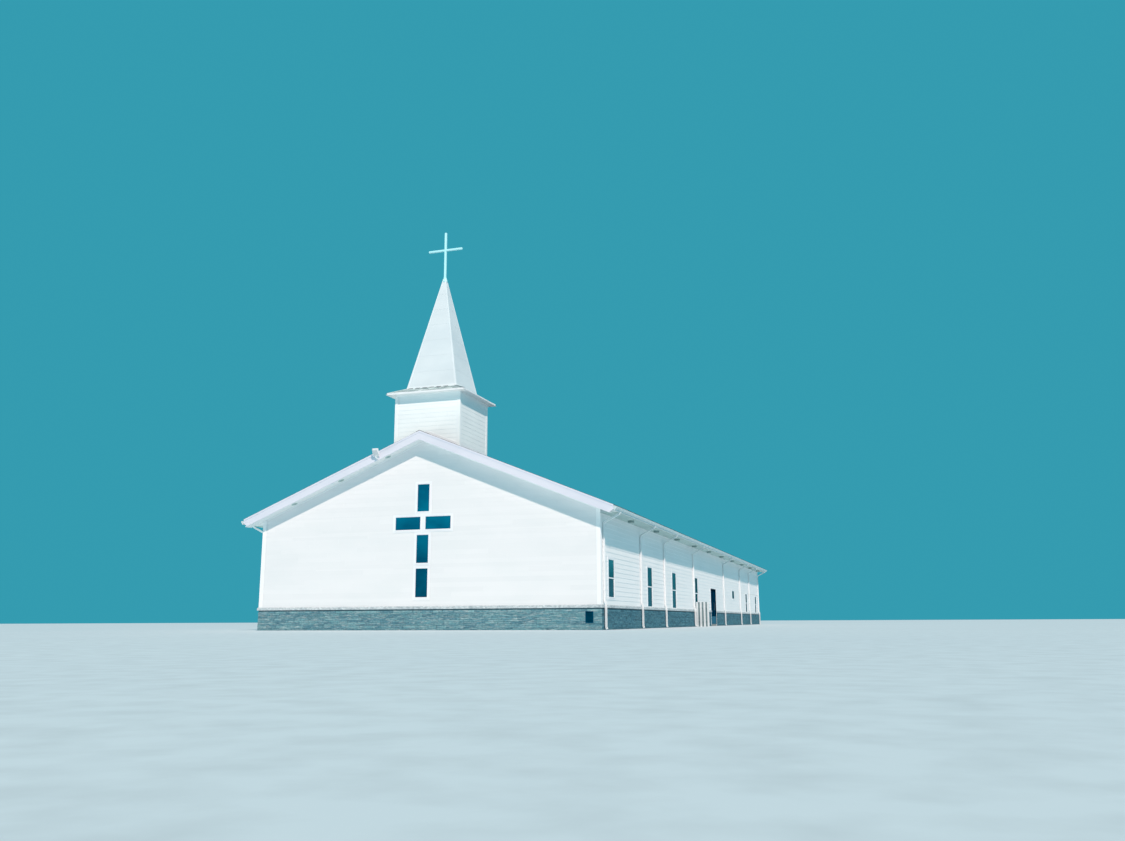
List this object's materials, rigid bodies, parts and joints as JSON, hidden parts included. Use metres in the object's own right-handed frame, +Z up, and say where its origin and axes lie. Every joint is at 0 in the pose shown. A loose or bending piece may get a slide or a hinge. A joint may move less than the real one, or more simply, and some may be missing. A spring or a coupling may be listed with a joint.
{
  "type": "1:2 scale model of a modern church building",
  "caption": "Scale model of a white gabled church hall on a stone base, with a square steeple, spire and cross, cross-shaped front windows and a hinged side door.",
  "frame": {"origin": "on the ground, at the middle of the building's outline", "axes": "+X to the right as seen from the front, +Y from the front gable to the rear one, +Z up"},
  "size_m": [8.428, 26.345, 8.8765],
  "materials": {
    "lap_siding": "satin white lap siding with a fine wood grain",
    "white_trim": "satin white",
    "base_stone": "rough stacked ledgestone, blue grey",
    "ledge_stone": "matt light grey cast stone",
    "roof_shingle": "granular charcoal shingles",
    "window_glass": "dark teal glass",
    "dark_metal": "dark satin",
    "floor_concrete": "smooth concrete"
  },
  "bodies": {
    "building": {"cross_window_bottom": "window_glass", "cross_window_left_arm": "window_glass", "cross_window_middle": "window_glass", "cross_window_right_arm": "window_glass", "cross_window_top": "window_glass", "door_frame": "white_trim", "floodlight": "white_trim", "floor_slab": "floor_concrete", "foundation_vent": "dark_metal", "front_rake_board": "white_trim", "front_stone_base": "base_stone", "front_wall": "lap_siding", "left_eave_soffit": "white_trim", "left_gutter": "white_trim", "left_roof": "roof_shingle", "left_stone_base": "base_stone", "left_wall": "lap_siding", "left_window_1": "window_glass", "left_window_2": "window_glass", "left_window_3": "window_glass", "left_window_4": "window_glass", "left_window_5": "window_glass", "rear_rake_board": "white_trim", "rear_stone_base": "base_stone", "rear_wall": "lap_siding", "ridge_cap": "roof_shingle", "right_eave_soffit": "white_trim", "right_gutter": "white_trim", "right_roof": "roof_shingle", "right_stone_base_front": "base_stone", "right_stone_base_rear": "base_stone", "right_wall_front": "lap_siding", "right_wall_over_door": "lap_siding", "right_wall_rear": "lap_siding", "right_window_1": "window_glass", "right_window_2": "window_glass", "right_window_3": "window_glass", "right_window_4": "window_glass", "right_window_5": "window_glass", "right_window_6": "window_glass", "right_window_7": "window_glass", "slatted_screen": "white_trim", "spire": "white_trim", "spire_cross": "white_trim", "steeple_skirt_roof": "roof_shingle", "steeple_tower": "lap_siding", "stone_ledge": "ledge_stone"},
    "front_leaf": {"door_leaf_front": "dark_metal"},
    "rear_leaf": {"door_leaf_rear": "dark_metal"}
  },
  "joints": [
    {"name": "front_leaf_hinge", "type": "hinge", "parent": "building", "child": "front_leaf", "pos_m": [3.8, 0.1635, 0.055], "axis": [0, 0, -1], "range_deg": [0, 90]},
    {"name": "rear_leaf_hinge", "type": "hinge", "parent": "building", "child": "rear_leaf", "pos_m": [3.8, 1.0615, 0.055], "axis": [0, 0, 1], "range_deg": [0, 90]}
  ]
}
